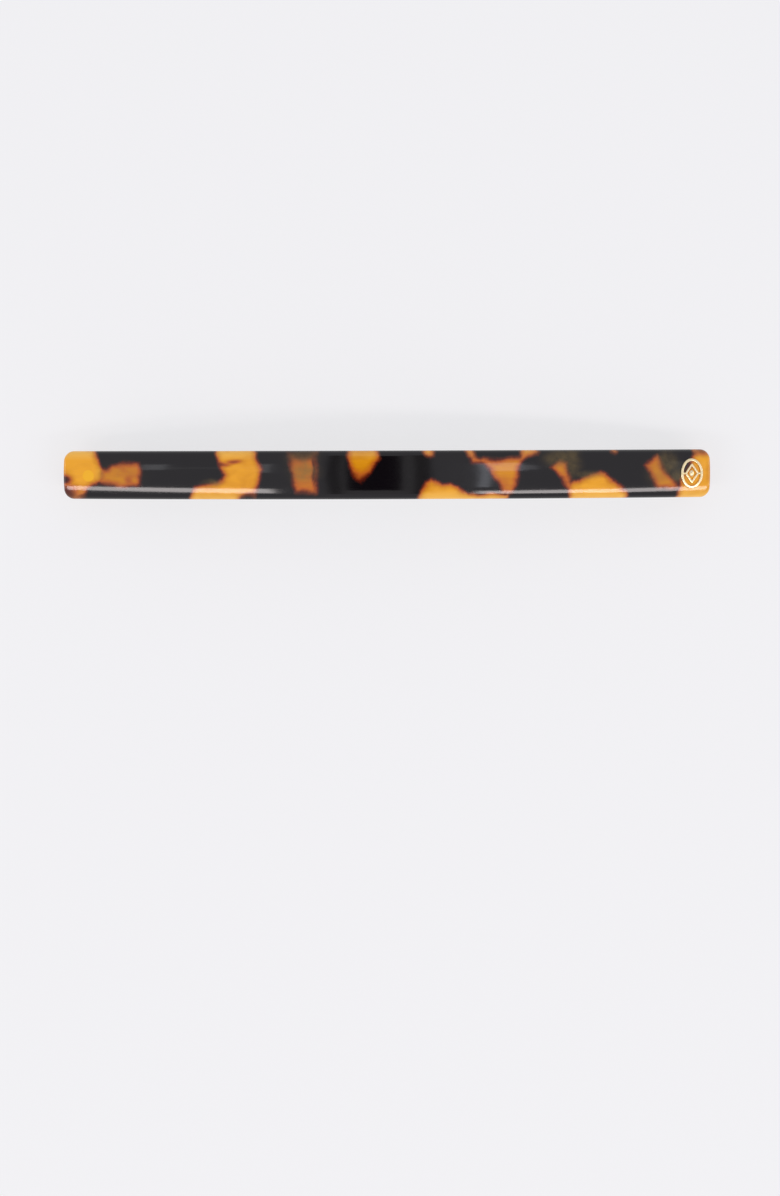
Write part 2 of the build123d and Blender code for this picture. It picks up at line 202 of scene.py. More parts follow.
# The links run on into their neighbours by a fifth of their half length.
LINK_REACH = 1.2
RING_POINTS = 96
BEAD_POINTS = 40
LINK_POINTS = 20

# Points nearer than this are one: on the shaped pieces, on the CAD nodes, and after rounding.
GRID_MERGE = 0.002 * MM
CAD_MERGE = 0.0015 * MM
CORNER_MERGE = 0.001 * MM
# Faces that meet at less than the first angle become one; above the second, their edge is rounded.
FLAT_ANGLE = math.radians(0.5)
SHARP_ANGLE = math.radians(32)

# ---------------------------------------------------------------- studio

# The floor's half side in metres, and its gap under the barrette's feet.
FLOOR_HALF = 1.5
FLOOR_GAP = 0.01 * MM
FLOOR_LIGHT = (0.99, 0.99, 1.0, 1.0)
SKY_LIGHT = (0.98, 0.97, 1.05, 1.0)
SKY_STRENGTH = 0.71
FILM_WIDTH_MM = 36.0
# Long softboxes on the near side: name, and reach in x and y in millimetres.
SOFTBOXES = (
    ("left", (-700, -183), (-270, -202)),
    ("right", (143, 700), (-308, -240)),
)
SOFTBOX_HEIGHT_MM = 600
SOFTBOX_RADIANCE = 8.7
SOFTBOX_COLOUR = (1.0, 0.93, 0.92)
# Cards round the barrette: name, reach in x, y and z in millimetres, and linear radiance.
# A card slopes where both its x and its z change.
CARDS = (
    ("stand_outer", (-73, 52), (-230, 230), (462, 462), (0.2, 0.2, 0.21)),
    ("stand_middle", (-57, 33), (-230, 230), (460, 460), (0.62, 0.61, 0.64)),
    ("stand_lens", (-48, 17), (-168, 206), (458, 458), (0.02, 0.02, 0.04)),
    ("shelf_end", (-425, -373), (70, 150), (600, 600), (1.8, 1.8, 1.9)),
    ("shelf_edge", (-373, -200), (84, 100), (600, 600), (0.95, 0.95, 1.0)),
    ("shelf_near", (-199, -183), (24, 145), (600, 600), (2.0, 2.0, 2.1)),
    ("door", (142, 160), (-182, 145), (600, 600), (2.9, 3.0, 3.3)),
    ("door_glass", (160, 214), (40, 150), (600, 600), (2.4, 2.4, 2.7)),
    ("door_top", (214, 236), (58, 118), (600, 600), (1.5, 1.5, 1.6)),
    ("panel_over_emblem", (515, 625), (-120, 190), (600, 600), (1.15, 1.12, 1.08)),
    ("side_left", (-900, -900), (-300, 300), (110, 300), (3.0, 3.0, 3.0)),
    ("side_right", (900, 900), (-300, 300), (110, 300), (3.0, 3.0, 3.0)),
)


class BarrettePatternSettings(bpy.types.PropertyGroup):
    """Colours of the tortoiseshell acetate."""

    black: StringProperty(name="Black", default="#0B0708",
                          description="Densest colour of the acetate, sRGB hex")
    umber: StringProperty(name="Umber", default="#641E08",
                          description="Red-brown rim of an amber patch, sRGB hex")
    rust: StringProperty(name="Rust", default="#C0601A",
                         description="Orange-brown inside the rim, sRGB hex")
    amber: StringProperty(name="Amber", default="#DC8E08",
                          description="Body of an amber patch, sRGB hex")
    honey: StringProperty(name="Honey", default="#F8AD1E",
                          description="Clearest colour of the acetate, sRGB hex")
    # Painted edge light: the amber is paled towards this colour near the long edges.
    straw: StringProperty(name="Straw", default="#FFD878",
                          description="Amber where light enters at the edges, sRGB hex")
    olive_dark: StringProperty(name="Dark Olive", default="#4A4128",
                               description="Haze over black, sRGB hex")
    olive_light: StringProperty(name="Light Olive", default="#B8903C",
                                description="Haze over amber, sRGB hex")
    rivet_shine: StringProperty(name="Rivet Shine", default="#FFC018",
                                description="Brass seen through the acetate, sRGB hex")
    edge_width: FloatProperty(name="Edge Width", default=1.35 * MM, unit="LENGTH",
                              description="Distance in which a patch reaches its full glow")
    spread: FloatProperty(name="Spread", default=0.16 * MM, unit="LENGTH",
                          description="How far each amber patch reaches past its outline")


class BarretteSettings(bpy.types.PropertyGroup):
    """Sizes and colours of the barrette and of its studio."""

    pattern: PointerProperty(type=BarrettePatternSettings)
    arch_radius: FloatProperty(name="Arch Radius", default=155 * MM, unit="LENGTH",
                               description="Arc of the bar's polished face, seen from the side")
    bar_thickness: FloatProperty(name="Thickness", default=3 * MM, unit="LENGTH",
                                 description="Thickness of the acetate")
    crown_radius: FloatProperty(name="Crown Radius", default=14 * MM, unit="LENGTH",
                                description="Dome of the polished face across its width")
    corner_radius: FloatProperty(name="Corner Radius", default=1.5 * MM, unit="LENGTH",
                                 description="Corners of the bar in plan")
    top_edge_radius: FloatProperty(name="Top Edge Radius", default=0.7 * MM, unit="LENGTH",
                                   description="Rounding of the polished edge")
    under_edge_radius: FloatProperty(name="Under Edge Radius", default=0.3 * MM, unit="LENGTH",
                                     description="Rounding of the edge over the plate")
    emblem_line: FloatProperty(name="Emblem Line", default=0.5 * MM, unit="LENGTH",
                               description="Width of the emblem's oval ring")
    steel_edge: FloatProperty(name="Steel Edge", default=0.06 * MM, unit="LENGTH",
                              description="Rounding of the stamped steel edges")
    floor_colour: StringProperty(name="Floor", default="#8A8A8B",
                                 description="Colour of the studio floor, sRGB hex")
    floor_glow: FloatProperty(name="Floor Glow", default=0.66,
                              description="Light that comes through the floor")
    camera_lens: FloatProperty(name="Lens", default=85.0,
                               description="Focal length in millimetres on a 36 mm film")
    camera_height: FloatProperty(name="Camera Height", default=443 * MM, unit="LENGTH",
                                 description="Camera above the surface that the barrette is on")
    camera_place: FloatVectorProperty(name="Camera Place", default=(0.5 * MM, 7 * MM), size=2,
                                      unit="LENGTH",
                                      description="Camera in plan, from the middle of the bar")
    camera_pitch: FloatProperty(name="Camera Pitch", default=math.radians(3.43), subtype="ANGLE",
                                description="Lean of the camera from straight down")
    camera_roll: FloatProperty(name="Camera Roll", default=math.radians(-0.17), subtype="ANGLE",
                               description="Turn of the camera about its axis")


def settings():
    return bpy.context.scene.barrette


# ---------------------------------------------------------------- materials

def linear(code):
    """sRGB hex to a linear RGBA colour."""
    channels = [int(code[i:i + 2], 16) / 255 for i in (1, 3, 5)]
    return [c / 12.92 if c <= 0.04045 else ((c + 0.055) / 1.055) ** 2.4 for c in channels] + [1.0]


def add(tree, kind, inputs=(), **properties):
    """Adds a node, sets its properties, and fills its inputs with values or other outputs."""
    made = tree.nodes.new(kind)
    for name, value in properties.items():
        setattr(made, name, value)
    for socket, value in dict(inputs).items():
        if isinstance(value, bpy.types.NodeSocket):
            tree.links.new(value, made.inputs[socket])
        else:
            made.inputs[socket].default_value = value
    return made


def new_material(name, kind="ShaderNodeBsdfPrincipled"):
    """A node material with only a shader of this kind, linked to its output."""
    material = bpy.data.materials.new(name)
    material.use_nodes = True
    tree = material.node_tree
    tree.nodes.clear()
    shader = add(tree, kind)
    add(tree, "ShaderNodeOutputMaterial", {"Surface": shader.outputs[0]})
    return material, tree, shader


def set_ramp(node, stops):
    """Gives a colour ramp its stops: (place, linear colour)."""
    elements = node.color_ramp.elements
    while len(elements) > 1:
        elements.remove(elements[-1])
    elements[0].position, elements[0].color = stops[0]
    for place, colour in stops[1:]:
        elements.new(place).color = colour


def object_mm(tree, scale=(1, 1, 1)):
    """Object coordinates in millimetres, stretched by scale."""
    place = add(tree, "ShaderNodeTexCoord")
    per_mm = add(tree, "ShaderNodeMapping", {"Vector": place.outputs["Object"],
                                             "Scale": [s / MM for s in scale]})
    return per_mm.outputs["Vector"]


def set_metal(tree, shader, wear, tones, roughness):
    """Makes the shader a metal whose tone and roughness follow a wear pattern.

    tones are the ramp stops as (place, sRGB hex), and roughness is the pattern's reach and the
    roughness at each end of it."""
    tone = add(tree, "ShaderNodeValToRGB", {"Fac": wear})
    set_ramp(tone, [(place, linear(code)) for place, code in tones])
    tree.links.new(tone.outputs["Color"], shader.inputs["Base Color"])
    names = ("From Min", "From Max", "To Min", "To Max")
    rough = add(tree, "ShaderNodeMapRange", {"Value": wear, **dict(zip(names, roughness))})
    tree.links.new(rough.outputs[0], shader.inputs["Roughness"])
    shader.inputs["Metallic"].default_value = 1.0


def cellulose_acetate():
    """Polished cellulose acetate sheet, tortoiseshell, hand cut and tumbled.

    Dense black-brown with clear amber let into it; the amber looks lit from inside, its rims turn
    rust and umber where the dark wedges over it, and smoke hangs in it. The polish is glassy with
    faint tumbling marks."""
    rim_wander, smoke_density, haze_on_black, haze_on_amber = 0.7, 0.97, 0.12, 0.75
    colours = settings().pattern
    material, tree, shader = new_material("cellulose_acetate_tortoiseshell")
    place = object_mm(tree)
    across = add(tree, "ShaderNodeSeparateXYZ", {"Vector": place}).outputs["Y"]
    amber, glow, smoke, haze = (
        add(tree, "ShaderNodeAttribute", attribute_name=name).outputs["Fac"]
        for name in ("amber", "glow", "smoke", "haze"))
    # The rims wander by a few tenths of a millimetre over 2 to 3 mm.
    wander = add(tree, "ShaderNodeTexNoise", {"Vector": place, "Scale": 0.5, "Detail": 3.0,
                                              "Roughness": 0.6})
    shift = add(tree, "ShaderNodeMath", {0: wander.outputs["Fac"], 1: 0.5}, operation="SUBTRACT")
    rim = add(tree, "ShaderNodeMath", {0: shift.outputs[0], 1: rim_wander, 2: amber},
              operation="MULTIPLY_ADD")
    clear = add(tree, "ShaderNodeMapRange", {"Value": rim.outputs[0], "From Min": -0.2,
                                             "From Max": 1.0}, interpolation_type="SMOOTHSTEP")
    # Clouds in the clear parts are 3 to 5 mm long and lie along the rolled sheet.
    cloud = add(tree, "ShaderNodeTexNoise", {"Vector": object_mm(tree, (0.45, 1.0, 0.8)),
                                             "Scale": 0.5, "Detail": 2.5, "Roughness": 0.5,
                                             "Distortion": 0.8})
    light = add(tree, "ShaderNodeMapRange", {"Value": cloud.outputs["Fac"], "From Min": 0.3,
                                             "From Max": 0.7, "To Min": 0.86, "To Max": 1.18})
    lit = add(tree, "ShaderNodeMath", {0: glow, 1: light.outputs[0]}, operation="MULTIPLY")
    depth = add(tree, "ShaderNodeMath", {0: clear.outputs[0], 1: lit.outputs[0]},
                operation="MULTIPLY")
    shade = add(tree, "ShaderNodeMath", {0: smoke, 1: -smoke_density, 2: 1.0},
                operation="MULTIPLY_ADD")
    strength = add(tree, "ShaderNodeMath", {0: depth.outputs[0], 1: shade.outputs[0]},
                   operation="MULTIPLY", use_clamp=True)
    ramp = add(tree, "ShaderNodeValToRGB", {"Fac": strength.outputs[0]})
    set_ramp(ramp, ((0.0, linear(colours.black)), (0.12, linear(colours.umber)),
                    (0.32, linear(colours.rust)), (0.62, linear(colours.amber)),
                    (1.0, linear(colours.honey))))
    # Haze shows as a dim olive over the black and greys the amber.
    dim = add(tree, "ShaderNodeMath", {0: strength.outputs[0], 1: haze_on_amber,
                                       2: haze_on_black}, operation="MULTIPLY_ADD")
    olive = add(tree, "ShaderNodeValToRGB", {"Fac": dim.outputs[0]})
    set_ramp(olive, ((0.0, linear(colours.olive_dark)), (1.0, linear(colours.olive_light))))
    patchy = add(tree, "ShaderNodeMapRange", {"Value": wander.outputs["Fac"], "From Min": 0.34,
                                              "From Max": 0.6, "To Min": 0.45, "To Max": 1.1})
    veil = add(tree, "ShaderNodeMath", {0: haze, 1: patchy.outputs[0]}, operation="MULTIPLY",
               use_clamp=True)
    hazed = add(tree, "ShaderNodeMix", {0: veil.outputs[0], 6: ramp.outputs["Color"],
                                        7: olive.outputs["Color"]}, data_type="RGBA")
    # Painted light: the amber is paled towards straw near the long edges, where light enters them,
    # from 2.2 mm off the middle outwards.
    aside = add(tree, "ShaderNodeMath", {0: across}, operation="ABSOLUTE")
    edge_light = add(tree, "ShaderNodeMapRange", {"Value": aside.outputs[0], "From Min": 2.2,
                                                  "From Max": 3.6, "To Max": 0.45})
    paler = add(tree, "ShaderNodeMath", {0: edge_light.outputs[0], 1: strength.outputs[0]},
                operation="MULTIPLY")
    edge_lit_colour = add(tree, "ShaderNodeMix", {0: paler.outputs[0], 6: hazed.outputs[2],
                                         7: linear(colours.straw)}, data_type="RGBA")
    # The rivet at the amber end shines through as a yellow disc, 1.5 mm across with a soft edge.
    flat = add(tree, "ShaderNodeVectorMath", {0: place, 1: (1, 1, 0)}, operation="MULTIPLY")
    away = add(tree, "ShaderNodeVectorMath", {0: flat.outputs["Vector"], 1: RIVET_SHINE_MM},
               operation="DISTANCE")
    disc = add(tree, "ShaderNodeMapRange", {"Value": away.outputs["Value"], "From Min": 1.0,
                                            "From Max": 0.75, "To Max": 0.7},
               interpolation_type="SMOOTHSTEP")
    shine = add(tree, "ShaderNodeMix", {0: disc.outputs[0], 6: edge_lit_colour.outputs[2],
                                        7: linear(colours.rivet_shine)}, data_type="RGBA")
    tree.links.new(shine.outputs[2], shader.inputs["Base Color"])
    # Tumbling leaves a fine orange peel, a few micrometres high, and hairline marks.
    peel = add(tree, "ShaderNodeTexNoise", {"Vector": place, "Scale": 0.35, "Detail": 2.0})
    bump = add(tree, "ShaderNodeBump", {"Height": peel.outputs["Fac"], "Distance": 0.008 * MM,
                                        "Strength": 0.4})
    tree.links.new(bump.outputs["Normal"], shader.inputs["Normal"])
    marks = add(tree, "ShaderNodeTexNoise", {"Vector": object_mm(tree, (0.3, 3.0, 3.0)),
                                             "Scale": 2.5, "Detail": 4.0})
    polish = add(tree, "ShaderNodeMapRange", {"Value": marks.outputs["Fac"], "To Min": 0.05,
                                              "To Max": 0.11})
    tree.links.new(polish.outputs[0], shader.inputs["Roughness"])
    shader.inputs["IOR"].default_value = 1.49
    return material


def gilt():
    """Stamped brass, electroplated with pale gold and polished: warm, bright, softly grained."""
    material, tree, shader = new_material("pale_gold_electroplate")
    grain = add(tree, "ShaderNodeTexNoise", {"Vector": object_mm(tree), "Scale": 6.0,
                                             "Detail": 3.0})
    set_metal(tree, shader, grain.outputs["Fac"], ((0.3, "#F6DFA8"), (0.7, "#FFF2CC")),
              (0.0, 1.0, 0.2, 0.3))
    return material


def plated_steel(name, light, dark, roughness):
    """Cold-rolled strip, stamped and plated: cool grey with rolling lines along X, a soft sheen."""
    line_gap_mm, stain_share = 0.1, 0.3
    material, tree, shader = new_material(name)
    # The rolling lines are drawn 0.1 mm apart, no finer, so that they show.
    lines = add(tree, "ShaderNodeTexNoise", {"Vector": object_mm(tree, (0.04, 1, 0.4)),
                                             "Scale": 1 / line_gap_mm, "Detail": 5.0,
                                             "Roughness": 0.65})
    stain = add(tree, "ShaderNodeTexNoise", {"Vector": object_mm(tree), "Scale": 0.25,
                                             "Detail": 3.0})
    wear = add(tree, "ShaderNodeMix", {0: stain_share, 2: lines.outputs["Fac"],
                                       3: stain.outputs["Fac"]})
    set_metal(tree, shader, wear.outputs[0], ((0.35, dark), (0.65, light)),
              (0.3, 0.7, roughness * 0.75, roughness * 1.3))
    bump = add(tree, "ShaderNodeBump", {"Height": lines.outputs["Fac"], "Distance": 0.004 * MM,
                                        "Strength": 0.6})
    tree.links.new(bump.outputs["Normal"], shader.inputs["Normal"])
    return material


def turned_metal(name, light, dark, roughness):
    """Wire or rod, headed and tumbled: plain bright metal with small dents and stains."""
    material, tree, shader = new_material(name)
    dents = add(tree, "ShaderNodeTexNoise", {"Vector": object_mm(tree), "Scale": 2.2,
                                             "Detail": 4.0})
    set_metal(tree, shader, dents.outputs["Fac"], ((0.35, dark), (0.65, light)),
              (0.3, 0.7, roughness * 0.7, roughness * 1.4))
    bump = add(tree, "ShaderNodeBump", {"Height": dents.outputs["Fac"], "Distance": 0.01 * MM,
                                        "Strength": 0.5})
    tree.links.new(bump.outputs["Normal"], shader.inputs["Normal"])
    return material


def plain_card(name, light):
    """A studio card that only sends light, the same in all directions."""
    material, _, glow = new_material(name, "ShaderNodeEmission")
    glow.inputs["Color"].default_value = (*light, 1.0)
    glow.inputs["Strength"].default_value = 1.0
    return material


# ---------------------------------------------------------------- mesh helpers

def new_object(name, data):
    """An object with this data, in the scene."""
    made = bpy.data.objects.new(name, data)
    bpy.context.scene.collection.objects.link(made)
    return made


def sheet(name, corners, material):
    """A flat sheet with four corners, for the studio."""
    mesh = bpy.data.meshes.new(name)
    mesh.from_pydata(corners, [], [(0, 1, 2, 3)])
    mesh.materials.append(material)
    return new_object(name, mesh)


def grid_piece(name, points, material, close_rows=False):
    """A mesh from a grid of points, rows by columns by 3.

    Columns always close on themselves, rows on request. Without close_rows, the first and last
    rows have to collapse to points or lines, which are then merged. The sum of the signed volumes
    under the faces says whether they point inwards, and if so they are turned."""
    rows, columns = points.shape[:2]
    row = np.arange(rows if close_rows else rows - 1)[:, None]
    column = np.arange(columns)[None, :]
    next_row, next_column = (row + 1) % rows, (column + 1) % columns
    faces = np.stack([row * columns + column, row * columns + next_column,
                      next_row * columns + next_column, next_row * columns + column], -1)
    faces = faces.reshape(-1, 4)
    flat = points.reshape(-1, 3)
    first, second, third, fourth = (flat[faces[:, corner]] for corner in range(4))
    volume = (np.cross(first, second) * third).sum() + (np.cross(first, third) * fourth).sum()
    if volume < 0:
        faces = faces[:, ::-1]
    mesh = bpy.data.meshes.new(name)
    mesh.from_pydata(flat.tolist(), [], faces.tolist())
    made = new_object(name, mesh)
    merge(mesh, GRID_MERGE)
    mesh.shade_smooth()
    mesh.materials.append(material)
    return made


def merge(mesh, distance):
    """Joins points closer than distance and drops what collapses."""
    work = bmesh.new()
    work.from_mesh(mesh)
    bmesh.ops.remove_doubles(work, verts=work.verts, dist=distance)
    bmesh.ops.dissolve_degenerate(work, edges=work.edges, dist=distance / 4)
    work.to_mesh(mesh)
    work.free()


def rounded_outline(side_count, end_count, corner_count):
    """Directions that make a rounded rectangle of any size.

    They are straight fractions fx and fy, and corner directions dx and dy. A point is
    (fx (half length - radius) + radius dx, fy (half width - radius) + radius dy)."""
    turns = []
    ahead = np.linspace(-1, 1, end_count, endpoint=False)[1:]
    along = np.linspace(1, -1, side_count, endpoint=False)[1:]
    one = np.ones(corner_count)
    for quarter in range(4):
        phi = np.linspace(quarter, quarter + 1, corner_count) * np.pi / 2
        side_x = (1, -1, -1, 1)[quarter]
        side_y = (1, 1, -1, -1)[quarter]
        turns.append(np.stack([side_x * one, side_y * one, np.cos(phi), np.sin(phi)]))
        run = (along, -ahead, -along, ahead)[quarter]
        flat = np.ones(len(run))
        out_x, out_y = ((0, 1), (-1, 0), (0, -1), (1, 0))[quarter]
        fx, fy = ((run, flat), (-flat, run), (run, -flat), (flat, run))[quarter]
        turns.append(np.stack([fx, fy, out_x * flat, out_y * flat]))
    return np.concatenate(turns, axis=1)


def bend(s, y, h):
    """Lays flat-bar coordinates on the arch: s along the polished face, y across, h above it.

    The angle is s over the arch radius, and the distance from the arcs' centre is the arch radius
    plus h."""
    radius = settings().arch_radius
    angle = s / radius
    return np.stack([(radius + h) * np.sin(angle), y,
                     BAR_HIGH.z - radius + (radius + h) * np.cos(angle)], -1)


def signed_depth(x, y, outline):
    """Distance inside a closed outline, negative outside.

    It is the least distance to the outline's sides, with the sign from how many of them a line to
    the right of the point crosses."""
    corners = np.array(outline, float)
    ax, ay = corners[:, 0], corners[:, 1]
    bx, by = np.roll(ax, -1), np.roll(ay, -1)
    px, py = x[:, None], y[:, None]
    along = ((px - ax) * (bx - ax) + (py - ay) * (by - ay)) / ((bx - ax) ** 2 + (by - ay) ** 2)
    along = np.clip(along, 0, 1)
    near = np.hypot(px - ax - along * (bx - ax), py - ay - along * (by - ay)).min(axis=1)
    # A level side is never crossed, so its rise only has to be other than zero.
    rise = np.where(by == ay, 1e-9, by - ay)
    crosses = ((ay > py) != (by > py)) & (px < (bx - ax) * (py - ay) / rise + ax)
    return np.where(crosses.sum(axis=1) % 2, near, -near)


def set_attribute(mesh, name, values):
    attribute = mesh.attributes.new(name, "FLOAT", "POINT")
    attribute.data.foreach_set("value", values.astype(np.float32))


def refined_copy(node, material):
    """A finer stand-in for a stamped or turned CAD node: merged points and rounded edges.

    Roundings that meet in a corner leave points on top of each other, which are joined last."""
    source = frame["nodes"][node]
    mesh = source.data.copy()
    mesh.materials.clear()
    made = new_object(node + "_finished", mesh)
    merge(mesh, CAD_MERGE)
    work = bmesh.new()
    work.from_mesh(mesh)
    bmesh.ops.dissolve_limit(work, angle_limit=FLAT_ANGLE, verts=work.verts, edges=work.edges)
    work.to_mesh(mesh)
    work.free()
    mesh.shade_smooth()
    if mesh.attributes.get("custom_normal"):
        mesh.attributes.remove(mesh.attributes["custom_normal"])
    mesh.set_sharp_from_angle(angle=SHARP_ANGLE)
    mesh.materials.append(material)
    rounding = made.modifiers.new("rounded_edges", "BEVEL")
    rounding.width = settings().steel_edge
    rounding.segments = 2
    rounding.limit_method = "ANGLE"
    rounding.angle_limit = SHARP_ANGLE
    rounding.harden_normals = True
    weld = made.modifiers.new("closed_corners", "WELD")
    weld.merge_threshold = CORNER_MERGE
    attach(made, source["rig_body"])
    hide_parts(node)


# ---------------------------------------------------------------- pieces

class BARRETTE_OT_acetate_bar(bpy.types.Operator):
    """Make the arched, domed acetate bar with its tortoiseshell pattern"""

    bl_idname = "barrette.acetate_bar"
    bl_label = "Acetate Bar"

    def execute(self, context):
        bar = grid_piece("tortoiseshell_bar", self.surface(), cellulose_acetate())
        self.pattern(bar.data)
        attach(bar, BODY)
        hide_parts("acetate_bar")
        return {"FINISHED"}

    def surface(self):
        """Rings of a rounded rectangle, from the middle of the polished face to the middle below.

        Each ring is the rectangle shrunk by its inset. The polished face falls across the bar as
        a circle of the crown radius, and over the edge as a quarter circle; the wall drops to the
        small rounding underneath."""
        size = settings()
        top_r, under_r, crown = size.top_edge_radius, size.under_edge_radius, size.crown_radius
        lean = math.asin(BAR_HIGH.x / size.arch_radius)
        reach = (BAR_HIGH.x - top_r * (1 - math.cos(lean))) / (size.arch_radius - top_r)
        half_l = math.asin(reach) * size.arch_radius
        half_w = BAR_HIGH.y
        face = np.linspace(half_w, top_r, FACE_ROWS, endpoint=False)
        edge = np.linspace(0, np.pi / 2, EDGE_ROWS)
        wall = np.array(WALL_SHARES)
        foot = edge[::UNDER_EDGE_STEP]
        under = np.linspace(under_r, half_w, UNDER_ROWS + 1)[1:]
        inset = np.concatenate([face, top_r * (1 - np.sin(edge)), 0 * wall,
                                under_r * (1 - np.cos(foot)), under])[:, None]
        corner = np.maximum(size.corner_radius - inset, 0)
        fx, fy, dx, dy = rounded_outline(SIDE_POINTS, END_POINTS, CORNER_POINTS)
        s = fx * (half_l - inset - corner) + corner * dx
        y = fy * (half_w - inset - corner) + corner * dy
        # Down to the foot: the fall below the dome, and the share of the way down the wall.
        fall = np.concatenate([0 * face, top_r * (1 - np.cos(edge)), 0 * wall + top_r])[:, None]
        down = np.concatenate([0 * face, 0 * edge, wall])[:, None]
        top = np.sqrt(crown**2 - y[:len(fall)]**2) - crown - fall
        top = top + down * (under_r - size.bar_thickness - top)
        # From the foot on: the rise above the flat underside.
        rise = np.concatenate([under_r * (1 - np.sin(foot)), 0 * under])[:, None]
        below = np.broadcast_to(rise - size.bar_thickness, y[len(fall):].shape)
        return bend(s, y, np.concatenate([top, below]))

    def pattern(self, mesh):
        """Stores the pattern on the surface: depth inside the amber, its glow, smoke and haze.

        The patches lean through the thickness of the sheet, so each point looks up the plan that
        its depth below the polished face has slid to, and two sine waves bend that plan. Smoke
        and haze fade from their middles as exp(-r^3), where r is 1 at their half sizes."""
        co = np.empty(len(mesh.vertices) * 3, np.float32)
        mesh.vertices.foreach_get("co", co)
        x, y, z = (co.reshape(-1, 3).astype(float) / MM).T
        crest = BAR_HIGH.z / MM - x**2 / (2 * settings().arch_radius / MM)
        depth = np.maximum(crest - z - SKIN_MM, 0)
        x, y = x + LEAN * depth, y * (1 - WIDENING * depth) + LEAN * depth
        along, across = (height * np.sin(per_x * x + per_y * y)
                         for height, per_x, per_y in (WAVE_ALONG, WAVE_ACROSS))
        x, y = x + along, y + across
        depths = np.stack([signed_depth(x, y, outline) for _, outline in AMBER_PATCHES])
        glows = np.array([glow for glow, _ in AMBER_PATCHES])[:, None]
        share = np.exp(np.clip(depths, -3, 1) * GLOW_BLEND)
        edge, spread = settings().pattern.edge_width / MM, settings().pattern.spread / MM
        set_attribute(mesh, "amber", np.clip((depths.max(axis=0) + spread) / edge, -2, 3))
        set_attribute(mesh, "glow", (share * glows).sum(axis=0) / share.sum(axis=0))
        for name, spots in (("smoke", SMOKES), ("haze", HAZES)):
            cover = np.zeros(len(x))
            for middle_x, middle_y, half_l, half_w, strength in spots:
                far = ((x - middle_x) / half_l) ** 2 + ((y - middle_y) / half_w) ** 2
                cover = np.maximum(cover, strength * np.exp(-far**1.5))
            set_attribute(mesh, name, cover)


class BARRETTE_OT_emblem(bpy.types.Operator):
    """Make the small gilt emblem: an oval ring round an open lozenge with a bead"""

    bl_idname = "barrette.emblem"
    bl_label = "Emblem"

    def execute(self, context):
        size = settings()
        material = gilt()
        seat = math.asin((EMBLEM_LOW.x + EMBLEM_HIGH.x) / 2 / size.arch_radius) * size.arch_radius
        flat_half_l = (EMBLEM_HIGH.x - EMBLEM_LOW.x) / 2 / math.cos(seat / size.arch_radius)
        line = size.emblem_line
        middle_l = flat_half_l - EMBLEM_MARGIN - line / 2
        middle_w = EMBLEM_HIGH.y - line / 2
        turn = np.linspace(0, 2 * np.pi, RING_POINTS, endpoint=False)
        ring = self.band(seat, middle_l * np.cos(turn), middle_w * np.sin(turn), line, RING_HEIGHT)
        corner = np.abs(np.cos(turn)) + np.abs(np.sin(turn))
        lozenge_l, lozenge_w = middle_l * LOZENGE_LENGTH, middle_w * LOZENGE_WIDTH
        lozenge = self.band(seat, lozenge_l * np.cos(turn) / corner,
                            lozenge_w * np.sin(turn) / corner, line * LOZENGE_LINE, LOZENGE_HEIGHT)
        bead = self.bead(seat, *BEAD_HALVES, BEAD_HEIGHT)
        parts = [grid_piece("emblem_ring", ring, material, close_rows=True),
                 grid_piece("emblem_lozenge", lozenge, material, close_rows=True),
                 grid_piece("emblem_bead", bead, material)]
        for name, side in (("emblem_link_left", -1), ("emblem_link_right", 1)):
            link = self.link(seat + side * (lozenge_l + middle_l) / 2,
                             (middle_l - lozenge_l) / 2, line * LINK_LINE)
            parts.append(grid_piece(name, link, material))
        for part in parts:
            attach(part, BODY)
            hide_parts("emblem")
        return {"FINISHED"}

    def raise_on_dome(self, s, y, h):
        """Sets heights on the domed face of the bar and lays the result on the arch."""
        crown = settings().crown_radius
        return bend(s, y, h + np.sqrt(crown**2 - y**2) - crown)

    def band(self, seat, x, y, width, height):
        """A closed line on the polished face with a soft-edged section.

        The upper side of the section is a flattened arch, height (1 - |v|^6) where v goes from -1
        to 1 across the width, and the lower side is flat."""
        ahead = np.stack([np.roll(x, -1) - np.roll(x, 1), np.roll(y, -1) - np.roll(y, 1)])
        ahead /= np.hypot(*ahead)
        over = np.linspace(-1, 1, 15)
        back = np.linspace(1, -1, 5)[1:-1]
        v = np.concatenate([over, back])
        arch = np.concatenate([height * (1 - np.abs(over) ** 6), 0 * back - SINK])
        s = seat + x[:, None] + ahead[1][:, None] * v * width / 2
        across = y[:, None] - ahead[0][:, None] * v * width / 2
        return self.raise_on_dome(s, across, np.broadcast_to(arch, s.shape) + EMBLEM_LIFT)

    def bead(self, seat, half_l, half_w, height):
        """A low oval dome, height times the square root of 1 - r^2, closed by a flat oval."""
        phi = np.linspace(0, np.pi / 2, 10)
        inwards = np.linspace(1, 0, 4)[1:]
        r = np.concatenate([np.sin(phi), inwards])[:, None]
        rise = np.concatenate([np.cos(phi) * height, 0 * inwards - SINK])[:, None]
        turn = np.linspace(0, 2 * np.pi, BEAD_POINTS, endpoint=False)
        s, y = seat + half_l * r * np.cos(turn), half_w * r * np.sin(turn)
        return self.raise_on_dome(s, y, np.broadcast_to(rise, s.shape))

    def link(self, middle, half_l, half_w):
        """A short bar along X with an oval section, half sunk and closed to a point at its ends."""
        along = np.linspace(-1, 1, 9)[:, None]
        turn = np.linspace(0, 2 * np.pi, LINK_POINTS, endpoint=False)
        full = np.where(np.abs(along) < 1, 1.0, 0.0)
        s = middle + along * half_l * LINK_REACH + 0 * turn
        return self.raise_on_dome(s, half_w * full * np.cos(turn),
                                  full * LINK_HEIGHT * np.sin(turn))


